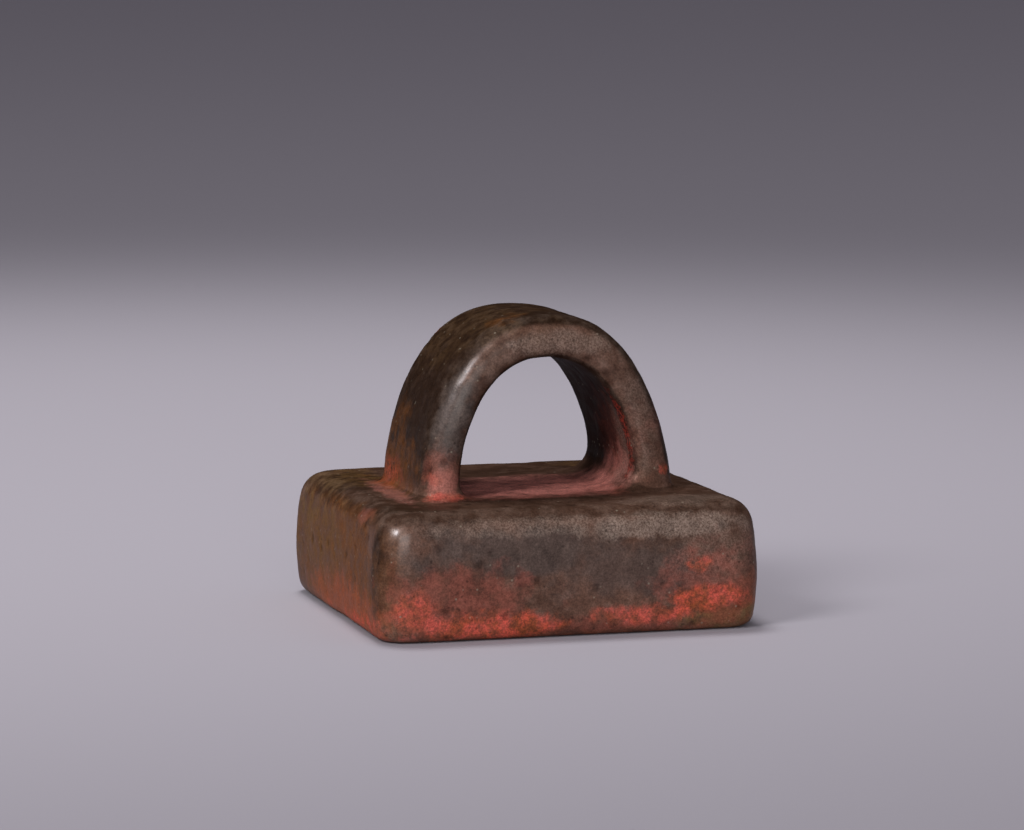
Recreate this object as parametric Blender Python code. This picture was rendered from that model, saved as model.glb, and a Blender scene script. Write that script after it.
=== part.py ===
"""Square bronze seal with an arched strap loop, cast in one piece.

The seal stands on its sealing face. +Z is up, and the loop spans X, so its hole runs
through along Y. The origin is the middle of the sealing face. Lengths are in metres.
"""

import math

import bmesh
import bpy
from mathutils import Matrix, Vector

MM = 0.001

# The block
SEAL_SIDE = 23.0 * MM  # at the sealing face, before its edges are worn round
BLOCK_HEIGHT = 7.6 * MM
TOP_DRAFT = 0.28 * MM  # how far each side has leaned in at the top
SIDE_SWELL = 0.36 * MM  # how far each side swells out half way up
TOP_ROUND = 1.25 * MM
BOTTOM_ROUND = 0.65 * MM
CORNER_ROUND = 1.7 * MM

# The strap loop
LOOP_WIDTH = 15.7 * MM  # outside to outside, above the foot fillets
LOOP_RISE = 10.7 * MM  # from the block's top to the crown
LOOP_OFF_X = 0.2 * MM  # the founder set the loop a little off centre
LOOP_OFF_Y = -0.4 * MM
STRAP_THICKNESS = 2.45 * MM  # in the legs
CROWN_THICKNESS = 2.5 * MM
STRAP_WIDTH = 10.6 * MM  # front to back at the crown
STRAP_SPREAD = 0.25 * MM  # how much further front and back each reach at the feet
STRAP_ROUND = 1.4 * MM  # front and back, on the outside
HOLE_ROUND = 0.75 * MM  # front and back, inside the hole
FOOT_FILLET = 0.4 * MM  # round the outside of both feet
LEFT_HOLE_FILLET = 0.9 * MM  # inside the hole, where the two feet differ
RIGHT_HOLE_FILLET = 2.0 * MM

# Each arch is |x / half width| ** SHOULDER + |z / rise| ** LEG = 1.
OUTSIDE_SHOULDER = 2.42
OUTSIDE_LEG = 1.8
INSIDE_SHOULDER = 2.29
INSIDE_LEG = 1.91

# The sealing face: two columns of plain strokes, cut in
FIELD_SIDE = 18.0 * MM
COLUMN_GAP = 1.6 * MM
STROKE_WIDTH = 1.1 * MM
STROKE_GAP = 0.9 * MM
STROKE_DEPTH = 0.6 * MM

# How finely round stretches are divided
EDGE_STEPS = 4
SIDE_ROWS = 5
FILLET_STEPS = 4
ARCH_STEPS = 13

BRONZE_COLOUR = (0.085, 0.052, 0.036, 1.0)
BRONZE_METALLIC = 0.6
BRONZE_ROUGHNESS = 0.42


def clear_scene():
    for obj in list(bpy.data.objects):
        bpy.data.objects.remove(obj, do_unlink=True)


def new_collection(name):
    made = bpy.data.collections.new(name)
    bpy.context.scene.collection.children.link(made)
    return made


def place(name, mesh, home):
    obj = bpy.data.objects.new(name, mesh)
    home.objects.link(obj)
    return obj


def bronze():
    material = bpy.data.materials.new("patinated_bronze")
    material.use_nodes = True
    shader = material.node_tree.nodes["Principled BSDF"]
    shader.inputs["Base Color"].default_value = BRONZE_COLOUR
    shader.inputs["Metallic"].default_value = BRONZE_METALLIC
    shader.inputs["Roughness"].default_value = BRONZE_ROUGHNESS
    return material


def round_edges(shape, edges, radius):
    bmesh.ops.bevel(
        shape,
        geom=edges,
        offset=radius,
        segments=EDGE_STEPS,
        profile=0.5,
        affect="EDGES",
        clamp_overlap=True,
    )


def edges_at(shape, height):
    """The edges that lie flat at one height round the outside."""
    level = [e for e in shape.edges if all(abs(v.co.z - height) < 0.01 * MM for v in e.verts)]
    return [e for e in level if e.calc_face_angle(0.0) > math.radians(60)]


def add_rows(shape, heights):
    """New edges all round a shape at each height."""
    for height in heights:
        bmesh.ops.bisect_plane(
            shape,
            geom=shape.verts[:] + shape.edges[:] + shape.faces[:],
            dist=0.001 * MM,
            plane_co=(0.0, 0.0, height),
            plane_no=(0.0, 0.0, 1.0),
        )


def side_offset(share):
    """How far the block's sides stand out from upright, at a share of its height."""
    return SIDE_SWELL * 4 * share * (1 - share) - TOP_DRAFT * share


def block_mesh():
    shape = bmesh.new()
    size = Matrix.Diagonal((SEAL_SIDE, SEAL_SIDE, BLOCK_HEIGHT, 1.0))
    lift = Matrix.Translation((0.0, 0.0, BLOCK_HEIGHT / 2))
    bmesh.ops.create_cube(shape, size=1.0, matrix=lift @ size)

    upright = [e for e in shape.edges if abs(e.verts[0].co.z - e.verts[1].co.z) > BLOCK_HEIGHT / 2]
    round_edges(shape, upright, CORNER_ROUND)
    round_edges(shape, edges_at(shape, BLOCK_HEIGHT), TOP_ROUND)
    round_edges(shape, edges_at(shape, 0.0), BOTTOM_ROUND)

    # Rows up the sides, so that they can swell
    flat_height = BLOCK_HEIGHT - TOP_ROUND - BOTTOM_ROUND
    rows = range(1, SIDE_ROWS)
    add_rows(shape, [BOTTOM_ROUND + flat_height * row / SIDE_ROWS for row in rows])
    for vert in shape.verts:
        stretch = 1 + side_offset(vert.co.z / BLOCK_HEIGHT) / (SEAL_SIDE / 2)
        vert.co.x *= stretch
        vert.co.y *= stretch

    mesh = bpy.data.meshes.new("bronze_seal")
    shape.to_mesh(mesh)
    shape.free()
    return mesh


def arch_side(half_width, rise, shoulder, leg, fillet):
    """Points (x, z) up one side of an arch, closer together where its foot is to flare."""
    points = []
    for step in range(FILLET_STEPS):
        z = fillet * (1 - math.cos(math.pi / 2 * step / FILLET_STEPS))
        points.append((half_width * (1 - (z / rise) ** leg) ** (1 / shoulder), z))
    start = math.asin((fillet / rise) ** (leg / 2))
    for step in range(ARCH_STEPS):
        turn = start + (math.pi / 2 - start) * step / ARCH_STEPS
        x = half_width * math.cos(turn) ** (2 / shoulder)
        points.append((x, rise * math.sin(turn) ** (2 / leg)))
    return points


def mirrored(points):
    return [(-x, z) for x, z in reversed(points)]


def strap_outline():
    """The strap seen from the front, with its feet let into the block."""
    half = LOOP_WIDTH / 2
    inside_half = half - STRAP_THICKNESS
    inside_rise = LOOP_RISE - CROWN_THICKNESS
    outer = arch_side(half, LOOP_RISE, OUTSIDE_SHOULDER, OUTSIDE_LEG, FOOT_FILLET)
    right, left = [
        arch_side(inside_half, inside_rise, INSIDE_SHOULDER, INSIDE_LEG, fillet)
        for fillet in (RIGHT_HOLE_FILLET, LEFT_HOLE_FILLET)
    ]
    root = -STRAP_THICKNESS / 2
    for side in (outer, right, left):
        side.insert(0, (side[0][0], root))
    over = outer + [(0.0, LOOP_RISE)] + mirrored(outer)
    under = right + [(0.0, inside_rise)] + mirrored(left)
    return over + under[::-1]


def strap_rims(shape, side):
    """The strap's front and back edges: side is +1 for the outside and -1 for the hole."""
    root = min(v.co.z for v in shape.verts)
    chosen = []
    for edge in shape.edges:
        ends = [f for f in edge.link_faces if abs(f.normal.y) > 0.999]
        walls = [f for f in edge.link_faces if abs(f.normal.y) < 0.001]
        if len(ends) != 1 or len(walls) != 1:
            continue
        place = (edge.verts[0].co + edge.verts[1].co) / 2
        if place.z > root + 0.01 * MM and walls[0].normal.dot(place) * side > 0:
            chosen.append(edge)
    return chosen


def foot_flare(place, normal):
    """How far a point of the strap moves out, so that the foot meets the block in a fillet."""
    into_hole = max(0.0, -math.copysign(1.0, place.x) * normal.x)
    hole_fillet = RIGHT_HOLE_FILLET if place.x > 0 else LEFT_HOLE_FILLET
    fillet = FOOT_FILLET + (hole_fillet - FOOT_FILLET) * into_hole
    drop = fillet - min(max(place.z, 0.0), fillet)
    reach = fillet - math.sqrt(fillet**2 - drop**2)
    return normal.to_2d().normalized() * reach


def strap_loop(home):
    """The loop as a flat outline drawn out to the strap's width, with its edges worn round."""
    outline = strap_outline()
    curve = bpy.data.curves.new("strap_outline", "CURVE")
    curve.dimensions = "2D"
    curve.fill_mode = "BOTH"
    curve.extrude = STRAP_WIDTH / 2
    line = curve.splines.new("POLY")
    line.points.add(len(outline) - 1)
    for point, (x, z) in zip(line.points, outline):
        point.co = (x, z, 0.0, 1.0)
    line.use_cyclic_u = True
    drawn = place("strap_outline", curve, home)
    evaluated = drawn.evaluated_get(bpy.context.evaluated_depsgraph_get())
    mesh = bpy.data.meshes.new_from_object(evaluated)
    bpy.data.objects.remove(drawn, do_unlink=True)

    shape = bmesh.new()
    shape.from_mesh(mesh)
    bmesh.ops.remove_doubles(shape, verts=shape.verts, dist=0.001 * MM)
    bmesh.ops.dissolve_limit(
        shape, angle_limit=math.radians(0.1), verts=shape.verts, edges=shape.edges
    )
    bmesh.ops.rotate(shape, verts=shape.verts, matrix=Matrix.Rotation(math.pi / 2, 3, "X"))
    round_edges(shape, strap_rims(shape, 1), STRAP_ROUND)
    round_edges(shape, strap_rims(shape, -1), HOLE_ROUND)

    # Rows round the feet, so that only they flare
    add_rows(shape, (0.0, FOOT_FILLET))
    shape.normal_update()
    for vert in shape.verts:
        share = min(max(vert.co.z / LOOP_RISE, 0.0), 1.0)
        flare = foot_flare(vert.co, vert.normal)
        vert.co.x += flare.x
        vert.co.y += flare.y + math.copysign(STRAP_SPREAD * (1 - share), vert.co.y)
    bmesh.ops.translate(shape, vec=(LOOP_OFF_X, LOOP_OFF_Y, BLOCK_HEIGHT), verts=shape.verts)
    bmesh.ops.triangulate(shape, faces=shape.faces)
    bmesh.ops.recalc_face_normals(shape, faces=shape.faces)
    shape.to_mesh(mesh)
    shape.free()
    return place("strap_loop", mesh, home)


def face_strokes(home):
    """The strokes of the sealing face: whole and halved bars by turns, in two columns."""
    column = (FIELD_SIDE - COLUMN_GAP) / 2
    pitch = STROKE_WIDTH + STROKE_GAP
    rows = int((FIELD_SIDE + STROKE_GAP) / pitch)
    first = -(rows - 1) * pitch / 2
    shape = bmesh.new()
    for side in (-1, 1):
        for row in range(rows):
            parts = 1 if (row + (side > 0)) % 2 else 2
            length = (column - (parts - 1) * STROKE_GAP) / parts
            for part in range(parts):
                near_end = COLUMN_GAP / 2 + part * (length + STROKE_GAP)
                middle = Vector((side * (near_end + length / 2), first + row * pitch, 0.0))
                size = Matrix.Diagonal((length, STROKE_WIDTH, 2 * STROKE_DEPTH, 1.0))
                bmesh.ops.create_cube(shape, size=1.0, matrix=Matrix.Translation(middle) @ size)
    mesh = bpy.data.meshes.new("face_strokes")
    shape.to_mesh(mesh)
    shape.free()
    return place("face_strokes", mesh, home)


def combine(target, tool, operation):
    tool.hide_render = True
    tool.display_type = "WIRE"
    modifier = target.modifiers.new(f"{operation}_{tool.name}".lower(), "BOOLEAN")
    modifier.operation = operation
    modifier.solver = "EXACT"
    modifier.object = tool


def main():
    clear_scene()
    parts = new_collection("bronze_seal")
    tools = new_collection("cutters")
    seal = place("bronze_seal", block_mesh(), parts)
    seal.data.materials.append(bronze())
    combine(seal, strap_loop(tools), "UNION")
    combine(seal, face_strokes(tools), "DIFFERENCE")
    seal.data.shade_smooth()


main()
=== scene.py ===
# %% [markdown]
# # A worn bronze seal with red paste in its hollows
#
# The object is a square seal no wider than a thumb, cast in one with the strap loop it hung
# from. Use rounded its edges, age gave it a brown skin, and stamping left vermilion seal
# paste low on its sides. This lesson loads the plain solid of the seal, turns it into a
# fine worn casting, gives it a skin made only of nodes, and lights it as a small studio
# would.

# %% Load the frame
import math

import bmesh
import bpy
import numpy as np
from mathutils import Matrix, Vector, noise


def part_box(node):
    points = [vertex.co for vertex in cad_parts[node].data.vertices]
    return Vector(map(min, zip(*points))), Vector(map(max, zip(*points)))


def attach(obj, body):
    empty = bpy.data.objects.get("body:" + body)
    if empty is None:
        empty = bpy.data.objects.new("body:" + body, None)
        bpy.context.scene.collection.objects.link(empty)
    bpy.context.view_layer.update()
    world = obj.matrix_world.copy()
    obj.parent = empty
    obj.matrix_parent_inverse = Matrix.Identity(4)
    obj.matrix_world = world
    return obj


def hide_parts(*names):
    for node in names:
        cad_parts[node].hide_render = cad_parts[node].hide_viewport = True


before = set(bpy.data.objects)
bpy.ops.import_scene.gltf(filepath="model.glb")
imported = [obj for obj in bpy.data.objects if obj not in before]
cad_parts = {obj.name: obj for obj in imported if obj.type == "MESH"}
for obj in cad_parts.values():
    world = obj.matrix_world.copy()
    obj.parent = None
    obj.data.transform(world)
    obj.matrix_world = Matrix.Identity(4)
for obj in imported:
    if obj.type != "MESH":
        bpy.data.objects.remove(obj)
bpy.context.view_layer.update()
MM = 0.001
low, high = (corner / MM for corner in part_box("bronze_seal"))
print("the solid spans", [round(v, 2) for v in high - low], "mm")

# %% [markdown]
# ## The camera
#
# A small thing is photographed from a short way off with a long lens, so its far edges are
# nearly as large as its near ones. The camera here stands a little left of the front and a
# little above, about 300 mm away. Aiming it at a point beside the seal's middle puts the
# seal where it stands in the picture, so the lens needs no shift.

# %% Place the camera
CAMERA_AZIMUTH = math.radians(-15.1)
CAMERA_ELEVATION = math.radians(7.35)
CAMERA_DISTANCE = 306.6 * MM
CAMERA_ROLL = math.radians(-0.25)
LENS = 178
SENSOR_WIDTH = 36
ORBIT_CENTRE = Vector((0.0, 0.0, 9.0)) * MM
AIM = Vector((-0.43, 0.48, 11.75)) * MM

towards_camera = Vector((
    math.sin(CAMERA_AZIMUTH) * math.cos(CAMERA_ELEVATION),
    -math.cos(CAMERA_AZIMUTH) * math.cos(CAMERA_ELEVATION),
    math.sin(CAMERA_ELEVATION),
))
camera = bpy.data.objects.new("camera", bpy.data.cameras.new("camera"))
bpy.context.scene.collection.objects.link(camera)
camera.location = ORBIT_CENTRE + towards_camera * CAMERA_DISTANCE
camera.rotation_euler = (AIM - camera.location).to_track_quat("-Z", "Y").to_euler()
camera.rotation_euler.rotate_axis("Z", CAMERA_ROLL)
camera.data.lens = LENS
camera.data.sensor_width = SENSOR_WIDTH
camera.data.clip_start = 10 * MM
bpy.context.scene.camera = camera
print("camera at", [round(v / MM) for v in camera.location], "mm")

# %% [markdown]
# ## From solid to casting
#
# The solid has flat facets and clean corners. A casting has neither: wax, sand and a
# lifetime of fingers round it all over. One could subdivide the facets, but they are long
# and thin, so the new points would crowd in some places and be missing in others. A voxel
# remesh instead gives every part of the skin the same small squares, and a few rounds of
# averaging each point with its neighbours then melts the facets into one surface, and the
# corners under the loop into fillets.

# %% Remesh the solid finely
SKIN_STEP = 0.172 * MM
SAME_POINT = 0.0001 * MM

casting = bpy.data.objects.new("seal_casting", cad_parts["bronze_seal"].data.copy())
bpy.context.scene.collection.objects.link(casting)
welded = bmesh.new()
welded.from_mesh(casting.data)
bmesh.ops.remove_doubles(welded, verts=welded.verts, dist=SAME_POINT)
welded.to_mesh(casting.data)
welded.free()
remesh = casting.modifiers.new("even_skin", "REMESH")
remesh.mode = "VOXEL"
remesh.voxel_size = SKIN_STEP
ready = casting.evaluated_get(bpy.context.evaluated_depsgraph_get())
fine = bpy.data.meshes.new_from_object(ready)
casting.modifiers.clear()
casting.data = fine
triangles = sum(len(face.vertices) - 2 for face in fine.polygons)
print("fine skin:", len(fine.vertices), "points and", triangles, "triangles")

# %% Read the points and their neighbours


def read_points(name):
    """One vector for each point of the fine skin, in rows of three."""
    flat = np.empty(len(fine.vertices) * 3)
    fine.vertices.foreach_get(name, flat)
    return flat.reshape(-1, 3)


def write_places(values):
    fine.vertices.foreach_set("co", (values * MM).ravel())
    fine.update()


def neighbour_mean(values):
    """The mean of each point's neighbours, for one number or several a point."""
    if values.ndim == 1:
        total = np.bincount(pairs[:, 0], values[pairs[:, 1]], count)
        total += np.bincount(pairs[:, 1], values[pairs[:, 0]], count)
        return total / links
    return np.stack([neighbour_mean(column) for column in values.T], axis=1)


def softened(values, rounds, share=0.5):
    for _ in range(rounds):
        values = values + share * (neighbour_mean(values) - values)
    return values


count = len(fine.vertices)
places = read_points("co") / MM
pairs = np.empty(len(fine.edges) * 2, int)
fine.edges.foreach_get("vertices", pairs)
pairs = pairs.reshape(-1, 2)
links = np.bincount(pairs.ravel(), minlength=count)
print("each point has", links.min(), "to", links.max(), "neighbours")

# %% Melt the facets
# The strokes in the sealing face stay sharper than the rest, so they are averaged less, and
# the strap, with its tighter curves, is averaged more. Heights and widths are in millimetres.
MELT_ROUNDS = 9
STRAP_MELT_ROUNDS = 12
FACE_MELT_ROUNDS = 4
FACE_DEPTH, FACE_BLEND = 1.1, 1.0
RIM_START, RIM_END = 9.4, 10.2
STRAP_START, STRAP_END = 9.2, 11.0


def ramp(values, start, end):
    """0 at start, 1 at end, with soft ends."""
    share = np.clip((values - start) / (end - start), 0, 1)
    return share * share * (3 - 2 * share)


sharp = softened(places, FACE_MELT_ROUNDS)
melted = softened(places, MELT_ROUNDS)
above_face = ramp(places[:, 2], FACE_DEPTH, FACE_DEPTH + FACE_BLEND)[:, None]
near_rim = ramp(np.abs(places[:, :2]).max(1), RIM_START, RIM_END)[:, None]
strap = ramp(places[:, 2], STRAP_START, STRAP_END)[:, None]
melted = melted + (softened(places, STRAP_MELT_ROUNDS) - melted) * strap
places = sharp + (melted - sharp) * np.maximum(above_face, near_rim)
write_places(places)
print("height after melting:", round(float(places[:, 2].max()), 2), "mm")

# %% [markdown]
# ## Wear you can feel
#
# Four things mark the surface. The founder's hand left it gently wavy, so no edge is quite
# straight. Wear left shallow dents about two millimetres across, corrosion left a finer
# grain, and gas and grit left pits. All of them are real relief here, not only shading,
# because the outline and the highlights give them away. Anything finer than the skin's
# squares waits for the bump nodes.

# %% Define waves and pits


def waves(size, offset):
    """Smooth noise of about -1 to 1 at every point, with bumps of one size."""
    shift = Vector(offset)
    return np.array([noise.noise(Vector(p) / size + shift) for p in places])


def pits(spacing, radius, share, offset):
    """1 in the middle of each pit, falling to 0 at its rim. The luckier a pit, the wider."""
    shift = Vector(offset)
    depth = np.zeros(count)
    for k, p in enumerate(places):
        distances, seeds = noise.voronoi(Vector(p) / spacing + shift)
        luck = noise.cell(seeds[0] * 7.3)
        if luck < share:
            reach = radius / spacing * (0.5 + luck / share)
            depth[k] = max(0.0, 1 - (distances[0] / reach) ** 2)
    return depth


print("waves and pits ready")

# %% Wave, dent and pit the skin
# Sizes and heights are in millimetres. The sealing face keeps a small share of the relief.
WAVE_SIZE, WAVE_HEIGHT = 7.0, 0.10
DENT_SIZE, DENT_HEIGHT = 2.1, 0.045
GRAIN_SIZE, GRAIN_HEIGHT = 0.7, 0.018
PIT_SPACING, PIT_RADIUS, PIT_DEPTH = 1.1, 0.2, 0.05
PITTED_SHARE = 0.4
FACE_GUARD = 0.25
FACE_RELIEF = 0.15

outward = read_points("normal")
wave = waves(WAVE_SIZE, (3.1, 0.4, 7.7))
dent = waves(DENT_SIZE, (9.2, 5.5, 1.3))
grain = waves(GRAIN_SIZE, (2.8, 8.1, 4.6))
pit = pits(PIT_SPACING, PIT_RADIUS, PITTED_SHARE, (5.0, 2.0, 9.0))
relief = wave * WAVE_HEIGHT + dent * DENT_HEIGHT + grain * GRAIN_HEIGHT - pit * PIT_DEPTH
lift = ramp(places[:, 2], 0.0, FACE_GUARD)
places = places + outward * (relief * (FACE_RELIEF + (1 - FACE_RELIEF) * lift))[:, None]
places[:, 2] = np.maximum(places[:, 2], 0.0)
write_places(places)
print("relief from", round(float(relief.min()), 3), "to", round(float(relief.max()), 3), "mm")

# %% [markdown]
# ## What the shape tells the finish
#
# Paste and dirt gather in hollows, fingers polish what stands out, and the hole through the
# loop is dark, partly with soot and partly with painted shade. All three can be read from the
# mesh: where a point lies below the mean of its neighbourhood it is in a hollow, where it lies
# above, it is on an edge, and where it faces the hole's middle, it is inside. The numbers are
# stored on the points as attributes, which the material reads by name.

# %% Measure hollows, edges and the inside of the loop
BLUR_ROUNDS = 14
SOOTHE_ROUNDS = 3
FULL_HOLLOW = 0.045
FULL_EDGE = 0.075
EYE_HEIGHT = 10.0
FACING_START, FACING_END = 0.5, 2.5
INSIDE_START, INSIDE_END = 8.4, 9.8

outward = read_points("normal")
blurred = softened(places, BLUR_ROUNDS)
proud = softened(((places - blurred) * outward).sum(1), SOOTHE_ROUNDS)
hollow = np.clip(-proud / FULL_HOLLOW, 0, 1)
edge = np.clip(proud / FULL_EDGE, 0, 1)
from_eye = places - [0.0, 0.0, EYE_HEIGHT]
inward = -(outward[:, 0] * from_eye[:, 0] + outward[:, 2] * from_eye[:, 2])
inside = ramp(inward, FACING_START, FACING_END) * ramp(places[:, 2], INSIDE_START, INSIDE_END)
for name, values in (("hollow", hollow), ("edge", edge), ("pit", pit), ("inside", inside)):
    layer = fine.attributes.new(name, "FLOAT", "POINT")
    layer.data.foreach_set("value", values.astype(np.float32))
fine.shade_smooth()
print("hollow over", round(float((hollow > 0.5).mean() * 100), 1), "% of the skin")

# %% [markdown]
# ## Node helpers
#
# A material is a long sum written in nodes. A few helpers keep it short to read: one adds a
# node and fills its sockets, and the others each do one step of the sum. Colours are given as
# they look on a screen and turned into the linear values that nodes want.

# %% Write the helpers for nodes and sums


def screen(red, green, blue):
    """A linear colour from the 0 to 255 values that a screen shows."""
    linear = []
    for value in (red, green, blue):
        share = value / 255
        linear.append(share / 12.92 if value < 11 else ((share + 0.055) / 1.055) ** 2.4)
    return (*linear, 1.0)


def fill(tree, socket, value):
    """Link the value to the socket where it is a socket itself, and otherwise set it."""
    if isinstance(value, bpy.types.NodeSocket):
        tree.links.new(value, socket)
    else:
        socket.default_value = value


def add(tree, kind, inputs=None, **settings):
    """A new node with its settings and inputs."""
    node = tree.nodes.new(kind)
    for name, value in settings.items():
        setattr(node, name, value)
    for key, value in (inputs or {}).items():
        fill(tree, node.inputs[key], value)
    return node


def maths(tree, operation, *values, clamp=False):
    node = add(tree, "ShaderNodeMath", dict(enumerate(values)), operation=operation, use_clamp=clamp)
    return node.outputs[0]


def times(tree, first, *others):
    """The product of two or more values."""
    for other in others:
        first = maths(tree, "MULTIPLY", first, other)
    return first


def without(tree, value):
    """1 where the value is 0, and 0 where it is 1."""
    return maths(tree, "SUBTRACT", 1.0, value)


def between(tree, value, start, end, low=0.0, high=1.0):
    """Value moved from start..end to low..high, with soft ends."""
    inputs = {"Value": value, "From Min": start, "From Max": end, "To Min": low, "To Max": high}
    return add(tree, "ShaderNodeMapRange", inputs, interpolation_type="SMOOTHSTEP").outputs[0]


print("nodes and sums ready")

# %% Write the helpers for colour, noise and groups


def blend(tree, share, under, over):
    """Under where share is 0 and over where it is 1."""
    node = add(tree, "ShaderNodeMix", data_type="RGBA")
    for socket, value in zip((node.inputs[0], node.inputs[6], node.inputs[7]), (share, under, over)):
        fill(tree, socket, value)
    return node.outputs[2]


def shaded(tree, colour, factor):
    """A colour made lighter or darker by a factor."""
    return add(tree, "ShaderNodeVectorMath", {0: colour, "Scale": factor}, operation="SCALE").outputs[0]


def speckle(tree, places, scale, detail=3.0, rough=0.55):
    inputs = {"Vector": places, "Scale": scale, "Detail": detail, "Roughness": rough}
    return add(tree, "ShaderNodeTexNoise", inputs).outputs["Fac"]


def new_group(name, inputs, outputs):
    """An empty node group with its sockets, each given as (name, kind, starting value)."""
    group = bpy.data.node_groups.new(name, "ShaderNodeTree")
    for label, kind, start in inputs:
        socket = group.interface.new_socket(label, in_out="INPUT", socket_type=kind)
        if start is not None:
            socket.default_value = start
    for label, kind in outputs:
        group.interface.new_socket(label, in_out="OUTPUT", socket_type=kind)
    return group, group.nodes.new("NodeGroupInput").outputs, group.nodes.new("NodeGroupOutput").inputs


def use(tree, group, inputs):
    """The outputs of a group placed in a tree with its own values."""
    node = tree.nodes.new("ShaderNodeGroup")
    node.node_tree = group
    for key, value in inputs.items():
        fill(tree, node.inputs[key], value)
    return node.outputs


print("colour, noise and groups ready")

# %% [markdown]
# ## A smear, as a group
#
# Paste, soil, polish, painted shade and painted light all lie in patches with a place, a size
# and a frayed edge. One group makes them all: it measures how far a point is from the patch's
# middle, in patch radii, shakes that distance with noise, and fades it out. It could be a
# painted mask, but a painted mask needs unwrapping and an image, and this needs neither.

# %% Build the smear group
VALUE, VECTOR = "NodeSocketFloat", "NodeSocketVector"
SMEAR_RIM, SMEAR_CORE = 1.15, 0.45
SHAKE = 4.0

SMEAR, taken, given = new_group(
    "smear",
    [("Place", VECTOR, None), ("Middle", VECTOR, None), ("Reach", VECTOR, (1.0, 1.0, 1.0)),
     ("Fray", VALUE, 0.5), ("Fray Scale", VALUE, 0.8), ("Strength", VALUE, 1.0)],
    [("Mask", VALUE)],
)
away = add(SMEAR, "ShaderNodeVectorMath", {0: taken["Place"], 1: taken["Middle"]}, operation="SUBTRACT")
in_radii = add(SMEAR, "ShaderNodeVectorMath", {0: away.outputs[0], 1: taken["Reach"]}, operation="DIVIDE")
far = add(SMEAR, "ShaderNodeVectorMath", {0: in_radii.outputs[0]}, operation="LENGTH").outputs["Value"]
frays = speckle(SMEAR, taken["Place"], taken["Fray Scale"], 5.0, 0.62)
shaken = times(SMEAR, maths(SMEAR, "SUBTRACT", frays, 0.5), taken["Fray"], SHAKE)
soft = between(SMEAR, maths(SMEAR, "ADD", far, shaken), SMEAR_RIM, SMEAR_CORE)
SMEAR.links.new(times(SMEAR, soft, taken["Strength"]), given["Mask"])
print("smear group:", len(SMEAR.nodes), "nodes")

# %% [markdown]
# ## Fine grain, as a group
#
# Under the camera the skin is never smooth: it has corrosion grain a tenth of a millimetre
# across and open pores, which come in swarms. The group gives both as one height for a Bump
# node, and the pores once more as a mask.

# %% Build the grain group
COARSE_SHARE, CELL_SHARE = 0.22, 0.33
PORE_RIM, PORE_CORE = 0.32, 0.08
SWARM_SCALE = 0.9

GRAIN, taken, given = new_group(
    "corroded_grain",
    [("Place", VECTOR, None), ("Size", VALUE, 0.12), ("Pores", VALUE, 0.5)],
    [("Height", VALUE), ("Pore Mask", VALUE)],
)
one_over = maths(GRAIN, "DIVIDE", 1.0, taken["Size"])
coarse = speckle(GRAIN, taken["Place"], times(GRAIN, one_over, COARSE_SHARE), 4.0, 0.6)
crumbs = speckle(GRAIN, taken["Place"], one_over, 2.0, 0.5)
cell_inputs = {"Vector": taken["Place"], "Scale": times(GRAIN, one_over, CELL_SHARE)}
cells = add(GRAIN, "ShaderNodeTexVoronoi", cell_inputs)
pore = between(GRAIN, cells.outputs["Distance"], PORE_RIM, PORE_CORE)
swarm = between(GRAIN, speckle(GRAIN, taken["Place"], SWARM_SCALE, 2.0), 0.48, 0.62)
pore = times(GRAIN, pore, swarm, taken["Pores"])
ground = maths(GRAIN, "ADD", coarse, times(GRAIN, crumbs, 0.5))
GRAIN.links.new(maths(GRAIN, "SUBTRACT", ground, pore), given["Height"])
GRAIN.links.new(pore, given["Pore Mask"])
print("grain group:", len(GRAIN.nodes), "nodes")

# %% [markdown]
# ## The patinated bronze
#
# The skin is built up in the order that it grew. First comes the brown patina, mottled at two
# scales. Painted shade darkens the block's top, its front left corner and edges, the front of
# the left leg and the crown's rim, and the strap's broad sides get a darker brown that is partly
# patina and partly painted shade. Over it lie rust and ochre, mostly on the left, blue-black
# patches on the front and an olive cast. The handled edges are rubbed tan, and tan painted
# light lies as a sheen along the front's top edge and on the crown and brightens the inside of
# the right leg. The hole is darkened, partly with soot and partly with painted shade. Last comes
# the seal paste: maroon where it is rubbed thin, pink where it is dusty, and vermilion where it
# is thick; under the loop the thin and dusty paste is also made lighter as painted light. Every
# patch is a smear with a place on the seal in millimetres.

# %% Name the colours
BROWN = screen(102, 73, 60)
DARK_BROWN = screen(82, 58, 47)
GREY_BROWN = screen(115, 90, 79)
BLACK_BROWN = screen(52, 35, 25)
STRAP_BROWN = screen(41, 27, 18)
SOOT_AND_PAINTED_SHADE = screen(42, 17, 11)
BLUE_BLACK = screen(77, 67, 63)
OLIVE = screen(106, 78, 42)
RUST = screen(110, 65, 27)
TAN = screen(142, 124, 112)
VERMILION = screen(194, 82, 66)
MAROON = screen(134, 72, 60)
ORANGE = screen(160, 80, 40)
CRIMSON = screen(138, 46, 34)
DRIED = screen(46, 20, 15)
PINK = screen(212, 134, 122)
ROSE = screen(190, 88, 84)
PORE = screen(26, 17, 14)
PAINTED_GLINT = screen(160, 150, 132)
print("colours named")

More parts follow.
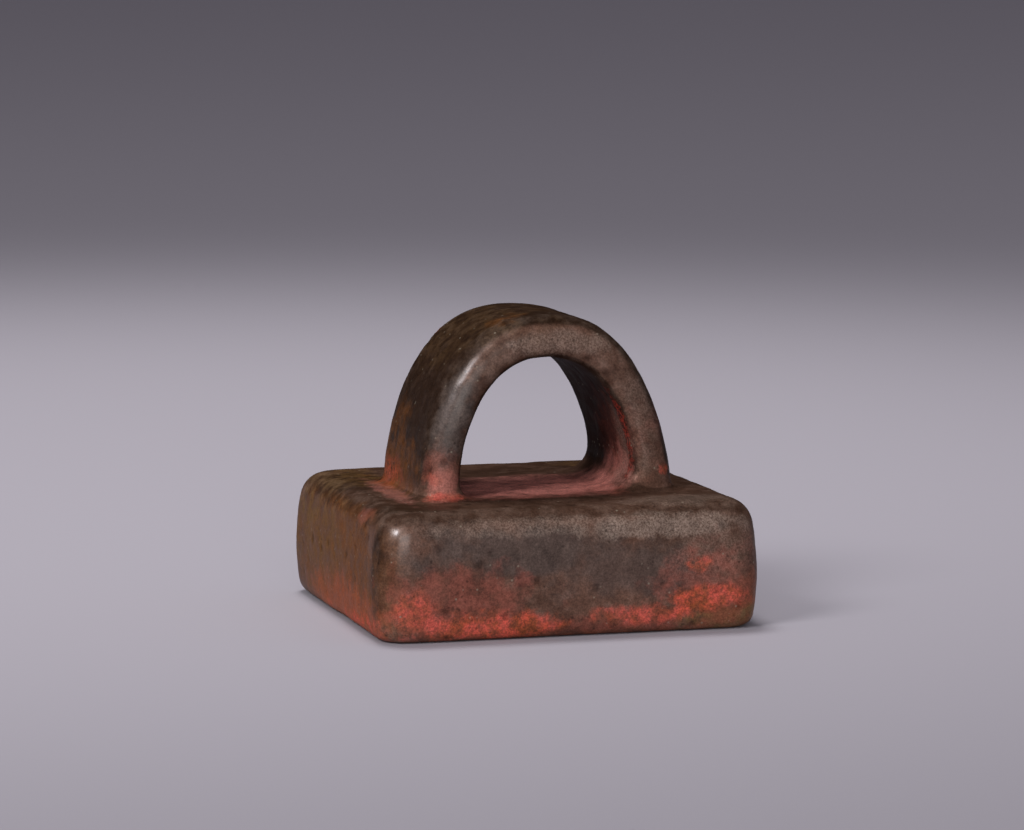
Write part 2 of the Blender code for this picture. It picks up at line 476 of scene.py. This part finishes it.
# %% Place the paste
# Each line is the middle, the reach along X, Y and Z, the fray, its scale and the strength.
PASTE = [
    ((-5.6, -11.5, 0.9), (5.4, 1.6, 1.0), 0.40, 1.0, 1.0),  # low on the front, left
    ((-9.6, -11.5, 1.9), (1.5, 1.8, 1.4), 0.45, 1.1, 0.9),  # front, at the left corner
    ((4.0, -11.5, 1.2), (3.2, 1.6, 0.7), 0.45, 1.0, 0.85),  # low on the front, right
    ((8.2, -11.5, 2.0), (2.8, 1.6, 0.9), 0.45, 1.0, 0.95),  # front, at the right corner
    ((7.7, -11.5, 4.0), (0.9, 0.8, 0.6), 0.45, 1.6, 0.8),  # a fleck halfway up the front
    ((-6.4, -6.1, 7.8), (1.5, 0.9, 0.3), 0.40, 1.4, 0.6),  # front of the left foot
    ((-7.0, -6.0, 8.9), (0.6, 0.8, 0.5), 0.40, 1.6, 0.5),  # a fleck above it
    ((7.3, -5.8, 9.0), (0.5, 0.7, 0.4), 0.30, 1.8, 0.8),  # a fleck on the right foot
    ((-8.0, 2.0, 8.6), (0.9, 3.4, 1.1), 0.60, 1.1, 0.55),  # outside of the left foot
    ((-4.5, 4.3, 17.0), (1.0, 0.9, 0.7), 0.40, 1.8, 0.5),  # back of the strap, high
    ((-11.6, -7.0, 0.4), (1.4, 5.4, 1.0), 0.50, 0.9, 0.8),  # low on the left side
    ((0.0, 0.0, 0.6), (10.5, 10.5, 0.4), 0.50, 0.8, 0.6),  # the strokes in the sealing face
]
CREASE = [
    ((4.8, -4.9, 11.5), (1.7, 0.5, 2.8), 0.60, 2.2, 0.9),  # inner rim of the right leg
    ((5.7, -5.0, 9.2), (0.8, 0.5, 1.6), 0.60, 2.2, 0.8),  # the same rim, lower
]
DUSTY_PASTE_AND_PAINTED_LIGHT = [
    # Painted light: pink paste made lighter on the floor of the hole, where the loop keeps light off.
    ((0.0, -1.4, 7.8), (7.4, 5.2, 1.2), 0.15, 0.9, 0.95),  # the floor of the hole
    ((4.6, -2.6, 8.6), (1.8, 3.6, 1.8), 0.40, 0.9, 0.35),  # inside of the right foot
    ((-8.6, -1.6, 7.6), (0.8, 6.0, 0.5), 0.40, 0.9, 0.22),  # outside of the left foot
    ((-6.5, -6.1, 8.5), (1.4, 0.9, 1.1), 0.60, 1.1, 0.45),  # front of the left foot
]
THIN_PASTE_AND_PAINTED_LIGHT = [
    ((-7.0, -11.5, 2.4), (5.2, 2.0, 2.4), 0.60, 0.7, 0.65),  # front, lower left
    ((8.6, -11.5, 2.6), (3.6, 2.0, 2.8), 0.60, 0.7, 0.6),  # front, lower right
    ((0.0, -11.5, 0.2), (11.0, 2.0, 1.1), 0.60, 0.7, 0.7),  # bottom edge of the front
    ((-11.6, -3.0, 0.8), (2.0, 9.0, 3.0), 0.60, 0.6, 0.2),  # low on the left side
    ((-11.2, -6.4, 6.9), (1.0, 1.8, 0.6), 0.60, 1.0, 0.4),  # top edge of the left side
    ((5.8, -2.6, 10.6), (2.6, 4.0, 3.6), 0.50, 0.7, 0.3),  # inside of the right leg
    # Painted light: maroon paste made lighter where the loop keeps light off.
    ((0.0, -3.6, 7.6), (6.5, 3.4, 0.7), 0.50, 0.7, 0.8),  # floor of the hole, near the front
    ((-6.6, -6.0, 9.4), (1.4, 1.2, 1.8), 0.50, 0.9, 0.45),  # front of the left leg
    ((6.0, 11.5, 1.6), (6.0, 2.0, 1.8), 0.65, 0.7, 0.6),  # low on the back
    ((11.6, 3.0, 1.2), (2.0, 7.0, 1.8), 0.65, 0.7, 0.6),  # low on the right side
]
print(len(PASTE + CREASE + DUSTY_PASTE_AND_PAINTED_LIGHT + THIN_PASTE_AND_PAINTED_LIGHT), "smears of paste")

# %% Place the patina's patches and the painted shade
BLUE = [
    ((-3.0, -11.6, 5.2), (7.4, 1.8, 1.8), 0.45, 0.5, 0.7),  # front, upper left
    ((-5.9, -5.9, 13.0), (1.8, 1.2, 3.6), 0.40, 0.8, 0.8),  # front of the left leg
    ((3.6, -11.6, 3.9), (5.6, 1.8, 1.9), 0.50, 0.5, 0.6),  # front, right of the middle
    ((2.0, 11.6, 4.6), (7.0, 1.8, 2.2), 0.50, 0.5, 0.7),  # the back
]
EARTH = [
    ((9.6, -11.0, 0.7), (3.4, 2.4, 1.1), 0.50, 0.8, 0.95),  # front right corner, low
    ((-9.6, 6.6, 7.4), (3.0, 5.6, 1.2), 0.50, 0.7, 0.4),  # block's top, back left
    ((0.0, -11.3, 0.0), (13.0, 1.2, 0.5), 0.40, 0.9, 0.9),  # bottom edge of the front
    ((-3.0, 0.0, 16.8), (6.0, 6.0, 2.4), 0.70, 0.6, 0.15),  # the crown
    ((-11.6, 4.0, 4.4), (1.6, 7.6, 3.4), 0.60, 0.6, 0.5),  # left side, towards the back
    ((-11.7, 7.0, 5.8), (1.2, 3.4, 1.4), 0.50, 0.8, 0.8),  # left side, high at the back
    ((8.0, 8.0, 7.4), (4.0, 4.0, 0.9), 0.60, 0.7, 0.5),  # block's top, back right
]
OCHRE = [
    ((-11.7, -3.0, 0.6), (1.6, 11.0, 2.4), 0.45, 0.7, 0.75),  # low on the left side
    ((10.9, -11.0, 0.9), (2.2, 1.8, 1.4), 0.45, 0.8, 0.5),  # front right corner, low
]
RUSTY = [
    ((-11.7, 0.0, 3.4), (1.6, 13.0, 4.6), 0.35, 0.5, 0.95),  # all of the left side
    ((-10.9, -10.8, 3.0), (1.0, 1.6, 4.0), 0.40, 0.6, 0.45),  # front left corner
    ((-7.9, 1.0, 9.2), (1.4, 6.4, 2.2), 0.60, 0.8, 0.65),  # outside of the left leg, low
    ((10.8, -10.8, 1.4), (2.4, 2.4, 2.4), 0.50, 0.7, 0.6),  # front right corner, low
    ((-7.8, 1.6, 12.2), (1.2, 2.6, 2.4), 0.60, 0.8, 0.5),  # outside of the left leg, higher
    ((-3.2, -3.4, 18.2), (2.4, 1.6, 0.6), 0.60, 0.9, 0.5),  # top of the crown
]
# Painted shade, in all but the last two lines: the front left corner, the top edges, the block's top, the
# front of the left leg and the crown's rim. The last two lines are dark patches of the patina itself.
PAINTED_SHADE_AND_DARK_PATCHES = [
    ((-11.6, -10.4, 4.6), (0.9, 1.0, 5.2), 0.20, 0.7, 1.0),  # left side, by the front corner
    ((-11.4, -1.0, 7.1), (1.4, 12.0, 0.6), 0.30, 0.6, 0.75),  # top edge of the left side
    ((-8.6, -8.6, 7.6), (4.0, 3.0, 0.7), 0.50, 0.6, 0.95),  # block's top, front left
    ((-5.7, -5.9, 13.0), (1.6, 1.2, 3.8), 0.40, 0.8, 0.7),  # front of the left leg
    ((0.4, -5.3, 18.2), (6.0, 1.0, 0.5), 0.40, 0.7, 0.6),  # front rim of the crown
    ((-9.6, 4.0, 7.6), (3.2, 7.0, 0.7), 0.50, 0.6, 0.95),  # block's top, left of the loop
    ((-11.0, -11.0, 4.4), (0.8, 0.8, 5.0), 0.30, 0.7, 0.5),  # front left corner
    ((-11.7, 1.5, 4.6), (1.2, 2.4, 1.7), 0.60, 0.9, 0.45),  # middle of the left side
    ((-11.7, -6.0, 3.0), (1.2, 2.0, 2.4), 0.60, 0.9, 0.3),  # left side, towards the front
]
print(len(BLUE + EARTH + OCHRE + RUSTY + PAINTED_SHADE_AND_DARK_PATCHES), "patches of patina")

# %% Place the rubbed spots, the painted sheen and light, and the glossy spots
GLOSSY = [
    ((-10.7, -11.0, 6.5), (2.0, 1.6, 1.7), 0.15, 0.8, 1.0),  # front left corner, top
    ((-5.4, -5.7, 14.6), (1.8, 1.2, 2.0), 0.20, 0.8, 0.35),  # left shoulder of the strap
]
# Rubbed wear, and painted light: a painted sheen on the front of the crown and along the front's top
# edge, and painted light on the inside of the right leg.
RUBBED_AND_PAINTED_LIGHT = [
    ((8.6, -11.6, 4.4), (2.8, 1.4, 2.2), 0.45, 0.7, 0.3),  # front, on the right
    ((6.0, -5.9, 12.4), (1.6, 1.0, 4.0), 0.45, 0.8, 0.25),  # front of the right leg
    ((5.2, -4.0, 10.2), (1.6, 1.7, 2.8), 0.45, 0.9, 0.6),  # inside of the right leg, low
    ((7.0, -9.4, 7.6), (4.4, 1.8, 0.6), 0.45, 0.9, 0.28),  # block's top, front right
    ((0.8, -5.8, 16.7), (4.4, 0.9, 0.9), 0.45, 0.8, 0.45),  # front of the crown
    ((-3.0, -11.5, 6.6), (7.0, 1.0, 0.7), 0.45, 0.7, 0.4),  # top edge of the front, left
    ((5.6, -11.4, 6.4), (6.2, 1.2, 0.9), 0.45, 0.7, 0.75),  # top edge of the front, right
]
print(len(GLOSSY + RUBBED_AND_PAINTED_LIGHT), "rubbed and glossy spots")

# %% Start the material and read the seal


def layered(tree, places, smears):
    """The strongest of several smears at each point."""
    strongest = 0.0
    for middle, reach, fray, fray_scale, strength in smears:
        inputs = {"Place": places, "Middle": middle, "Reach": reach}
        inputs.update({"Fray": fray, "Fray Scale": fray_scale, "Strength": strength})
        mask = use(tree, SMEAR, inputs)["Mask"]
        strongest = maths(tree, "MAXIMUM", strongest, mask)
    return strongest


def attribute(tree, name):
    return add(tree, "ShaderNodeAttribute", attribute_name=name).outputs["Fac"]


bronze = bpy.data.materials.new("patinated_bronze_skin")
bronze.use_nodes = True
tree = bronze.node_tree
shader = tree.nodes["Principled BSDF"]

coordinates = add(tree, "ShaderNodeTexCoord").outputs
in_mm = {0: coordinates["Object"], "Scale": 1 / MM}
place = add(tree, "ShaderNodeVectorMath", in_mm, operation="SCALE").outputs[0]
_, along, height = add(tree, "ShaderNodeSeparateXYZ", {0: place}).outputs
_, face_y, face_z = add(tree, "ShaderNodeSeparateXYZ", {0: coordinates["Normal"]}).outputs
facing_along = maths(tree, "ABSOLUTE", face_y)
hollows = attribute(tree, "hollow")
edges = attribute(tree, "edge")
pitted = attribute(tree, "pit")
inside = attribute(tree, "inside")
print("reading places, normals and", len(fine.attributes), "attributes")

# %% Mottle the brown patina
cloud = speckle(tree, place, 0.25, 4.0, 0.55)
mottle = speckle(tree, place, 1.1, 5.0, 0.6)
fleck = speckle(tree, place, 4.5, 4.0, 0.65)
dust = speckle(tree, place, 9.0, 3.0, 0.7)

base = blend(tree, between(tree, cloud, 0.35, 0.65), DARK_BROWN, BROWN)
base = blend(tree, between(tree, mottle, 0.40, 0.75, 0.0, 0.5), base, GREY_BROWN)
print("patina:", len(tree.nodes), "nodes")

# %% Paint shade on the block's top and darken the strap's broad sides
# Painted shade: faces of the block, not the loop, that look up are darkened towards black-brown.
TOP_SHADE = 0.62
STRAP_SHADE = 0.92

on_loop = between(tree, height, 8.0, 9.0)
level = between(tree, face_z, 0.5, 0.7)
top_of_block = times(tree, level, without(tree, on_loop))
# The strap's sides that face neither front nor back turn darker brown: partly its own dark patina, partly
# painted shade.
broad_strap = times(tree, between(tree, facing_along, 0.86, 0.62), on_loop)
top_shade = times(tree, top_of_block, TOP_SHADE)
shade = maths(tree, "MAXIMUM", top_shade, layered(tree, place, PAINTED_SHADE_AND_DARK_PATCHES))
base = blend(tree, shade, base, BLACK_BROWN)
base = blend(tree, times(tree, broad_strap, STRAP_SHADE), base, STRAP_BROWN)
print("with the dark sides:", len(tree.nodes), "nodes")

# %% Add rust, ochre, blue and earth
rusty = times(tree, layered(tree, place, RUSTY), between(tree, mottle, 0.2, 0.6, 0.5, 1.0))
base = blend(tree, rusty, base, RUST)
base = blend(tree, layered(tree, place, OCHRE), base, ORANGE)
base = blend(tree, layered(tree, place, BLUE), base, BLUE_BLACK)
olive = times(tree, layered(tree, place, EARTH), between(tree, mottle, 0.3, 0.6))
base = blend(tree, olive, base, OLIVE)
print("with its patches:", len(tree.nodes), "nodes")

# %% Rub the edges, paint sheen and light, and darken the hole with soot and painted shade
EDGE_POLISH = 0.35
HOLE_DARK_FRONT, HOLE_DARK_DEEP = 0.15, 0.9

rubbed_and_painted_light = times(tree, layered(tree, place, RUBBED_AND_PAINTED_LIGHT), between(tree, dust, 0.3, 0.65, 0.3, 1.0))
worn = between(tree, mottle, 0.3, 0.7, 0.0, EDGE_POLISH)
polish = maths(tree, "MULTIPLY", edges, worn, clamp=True)
base = blend(tree, maths(tree, "MAXIMUM", polish, rubbed_and_painted_light), base, TAN)
# Darker deeper into the hole: partly soot, partly painted shade.
hole_darkening = between(tree, along, -4.6, -1.6, HOLE_DARK_FRONT, HOLE_DARK_DEEP)
base = blend(tree, times(tree, inside, hole_darkening), base, SOOT_AND_PAINTED_SHADE)
print("with its wear:", len(tree.nodes), "nodes")

# %% Lay the thin and dusty paste over it, lighter under the loop as painted light
thin_paste_and_painted_light = times(tree, layered(tree, place, THIN_PASTE_AND_PAINTED_LIGHT), between(tree, mottle, 0.25, 0.6, 0.3, 1.0))
base = blend(tree, thin_paste_and_painted_light, base, MAROON)
dusty_paste_and_painted_light = times(tree, layered(tree, place, DUSTY_PASTE_AND_PAINTED_LIGHT), between(tree, mottle, 0.25, 0.6, 0.7, 1.0))
base = blend(tree, dusty_paste_and_painted_light, base, PINK)
crease = times(tree, layered(tree, place, CREASE), between(tree, dust, 0.35, 0.6, 0.5, 1.0))
streak = blend(tree, between(tree, fleck, 0.42, 0.56), DRIED, CRIMSON)
base = blend(tree, crease, base, streak)
print("with thin paste:", len(tree.nodes), "nodes")

# %% Lay the thick paste over it
# Thick paste holds in the flecks and hollows and is broken up by the mottle.
HOLLOW_HOLD = 0.12

hold = maths(tree, "ADD", fleck, times(tree, hollows, HOLLOW_HOLD))
held = between(tree, hold, 0.3, 0.62, 0.42, 1.0)
broken = between(tree, mottle, 0.36, 0.56, 0.6, 1.0)
thick = times(tree, layered(tree, place, PASTE), held, broken)
paste_colour = blend(tree, between(tree, mottle, 0.35, 0.65), ORANGE, VERMILION)
paste_colour = blend(tree, between(tree, cloud, 0.42, 0.58, 0.0, 0.3), paste_colour, ROSE)
base = blend(tree, thick, base, paste_colour)
print("with thick paste:", len(tree.nodes), "nodes")

# %% Break it up with grain, pores and painted glints
GRAIN_STEP = 0.13
PORE_STRENGTH = 0.5
PIT_DARKNESS = 0.5
PAINTED_GLINT_SCALE = 2.4
PAINTED_GLINT_STRENGTH = 0.4

grain_out = use(tree, GRAIN, {"Place": place, "Size": GRAIN_STEP, "Pores": PORE_STRENGTH})
for noise_out, dimmest, brightest in ((mottle, 0.88, 1.12), (fleck, 0.86, 1.14), (dust, 0.82, 1.18)):
    base = shaded(tree, base, between(tree, noise_out, 0.3, 0.7, dimmest, brightest))
dark = maths(tree, "MAXIMUM", grain_out["Pore Mask"], times(tree, pitted, PIT_DARKNESS))
base = blend(tree, dark, base, PORE)
# Painted glints: a few tiny pale dots stand in for highlights on the grain.
painted_glint_cells = add(tree, "ShaderNodeTexVoronoi", {"Vector": place, "Scale": PAINTED_GLINT_SCALE})
painted_glint_dot = between(tree, painted_glint_cells.outputs["Distance"], 0.22, 0.08)
chosen = add(tree, "ShaderNodeSeparateXYZ", {0: painted_glint_cells.outputs["Color"]}).outputs[0]
painted_glint_dot = times(tree, painted_glint_dot, between(tree, chosen, 0.86, 0.9))
base = blend(tree, times(tree, painted_glint_dot, PAINTED_GLINT_STRENGTH), base, PAINTED_GLINT)
tree.links.new(base, shader.inputs["Base Color"])
print("with grain and glints:", len(tree.nodes), "nodes")

# %% [markdown]
# ## Sheen
#
# Old bronze shines only where it is handled, and even there softly. Paste and soot are dull.
# A low index of refraction keeps the patina from looking varnished, and a thin coat,
# strongest on edges and two glossy spots, gives the small highlights at the corner of the
# block and on the strap. Hollows, level tops, the left and right sides, the hole and the
# fillets at the feet get none of it.

# %% Set the roughness and the metal
SMOOTHEST, ROUGHEST = 0.44, 0.6
METAL_SHARE = 0.2

dulled = maths(tree, "MAXIMUM", thick, times(tree, thin_paste_and_painted_light, 0.6))
rough = between(tree, mottle, 0.3, 0.75, SMOOTHEST, ROUGHEST)
rough = maths(tree, "ADD", rough, times(tree, dulled, 0.15))
rough = maths(tree, "SUBTRACT", rough, times(tree, edges, 0.05), clamp=True)
rough = maths(tree, "ADD", rough, times(tree, inside, 0.25), clamp=True)
tree.links.new(rough, shader.inputs["Roughness"])
metal = maths(tree, "SUBTRACT", METAL_SHARE, times(tree, dulled, METAL_SHARE), clamp=True)
tree.links.new(metal, shader.inputs["Metallic"])
shader.inputs["IOR"].default_value = 1.15
print("roughness from", SMOOTHEST, "to", ROUGHEST, "before paste and edges")

# %% Set the coat and the bump
COAT_GROUND = 0.1
COAT_ON_SPOTS = 0.45
COAT_ON_EDGES = 0.35
BUMP_STRENGTH = 0.45
BUMP_HEIGHT = 0.05 * MM

polished = without(tree, between(tree, facing_along, 0.35, 0.1))
foot_ring = times(tree, between(tree, height, 7.3, 7.6), between(tree, height, 9.6, 8.6))
for kept_dull in (level, hollows, inside, foot_ring):
    polished = times(tree, polished, without(tree, kept_dull))
on_spots = times(tree, layered(tree, place, GLOSSY), COAT_ON_SPOTS)
gloss = maths(tree, "ADD", on_spots, times(tree, edges, COAT_ON_EDGES))
coat = times(tree, polished, maths(tree, "ADD", COAT_GROUND, gloss), without(tree, dulled))
tree.links.new(coat, shader.inputs["Coat Weight"])
shader.inputs["Coat Roughness"].default_value = 0.27
bump_inputs = {"Height": grain_out["Height"], "Strength": BUMP_STRENGTH, "Distance": BUMP_HEIGHT}
tree.links.new(add(tree, "ShaderNodeBump", bump_inputs).outputs[0], shader.inputs["Normal"])
print("bronze material:", len(tree.nodes), "nodes")

# %% Put the skin in the solid's place
casting.data.materials.clear()
casting.data.materials.append(bronze)
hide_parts("bronze_seal")
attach(casting, "root")
print("the casting stands for the solid")

# %% [markdown]
# ## Floor and light
#
# The seal stands on a plain pale sheet that runs far back, so no horizon shows. A soft light
# at the upper left, in front, models the form and throws a soft shadow to the right. A wide
# one low in front keeps the near sides readable. The bright pool on the floor, which fades
# to grey behind, comes from a lamp overhead. The polish mirrors neither that lamp nor the
# dim room, which only fills the shadows. A small lamp beside the first one does the
# opposite: it shows in the highlights alone.

# %% Lay the floor
FLOOR_SIZE = 3.0
floor_mesh = bpy.data.meshes.new("floor")
sheet = bmesh.new()
bmesh.ops.create_grid(sheet, x_segments=1, y_segments=1, size=FLOOR_SIZE / 2)
sheet.to_mesh(floor_mesh)
sheet.free()
floor = bpy.data.objects.new("floor", floor_mesh)
bpy.context.scene.collection.objects.link(floor)
paper = bpy.data.materials.new("pale_paper")
paper.use_nodes = True
paper_shader = paper.node_tree.nodes["Principled BSDF"]
paper_shader.inputs["Base Color"].default_value = screen(160, 155, 163)
paper_shader.inputs["Roughness"].default_value = 0.9
floor.data.materials.append(paper)
print("floor of", FLOOR_SIZE, "m")

# %% Set the lights
# Places and sizes are in metres, as lamps are set up around a table.


def lamp(name, light, position):
    """A lamp in the scene, at its place."""
    stand = bpy.data.objects.new(name, light)
    bpy.context.scene.collection.objects.link(stand)
    stand.location = position
    return stand


def softbox(name, position, size, watts, colour=(1.0, 1.0, 1.0)):
    """A square soft light that faces the seal."""
    light = bpy.data.lights.new(name, "AREA")
    light.shape = "SQUARE"
    light.size = size
    light.energy = watts
    light.color = colour
    stand = lamp(name, light, position)
    stand.rotation_euler = (ORBIT_CENTRE - stand.location).to_track_quat("-Z", "Y").to_euler()
    return stand


softbox("key", (-0.46, -0.28, 0.42), size=0.22, watts=2.05)
softbox("front", (-0.16, -0.66, 0.13), size=0.40, watts=1.9)
glint = softbox("glint", (-0.44, -0.36, 0.42), size=0.12, watts=2.6, colour=(0.94, 0.93, 1.0))
glint.visible_diffuse = False
pool = bpy.data.lights.new("overhead", "SPOT")
pool.energy = 2.7
pool.spot_size = math.radians(68)
pool.spot_blend = 0.85
pool.shadow_soft_size = 0.05
overhead = lamp("overhead", pool, (-0.02, 0.076, 0.30))
overhead.visible_glossy = False
print(len(bpy.data.lights), "lights")

# %% Dim the room around them
ROOM_BRIGHTNESS = 0.88

world = bpy.data.worlds.new("dim_room")
bpy.context.scene.world = world
world.use_nodes = True
world.node_tree.nodes["Background"].inputs["Color"].default_value = screen(150, 147, 155)
world.node_tree.nodes["Background"].inputs["Strength"].default_value = ROOM_BRIGHTNESS
world.cycles_visibility.glossy = False
bpy.context.scene.view_settings.view_transform = "Standard"
print("room brightness", ROOM_BRIGHTNESS)
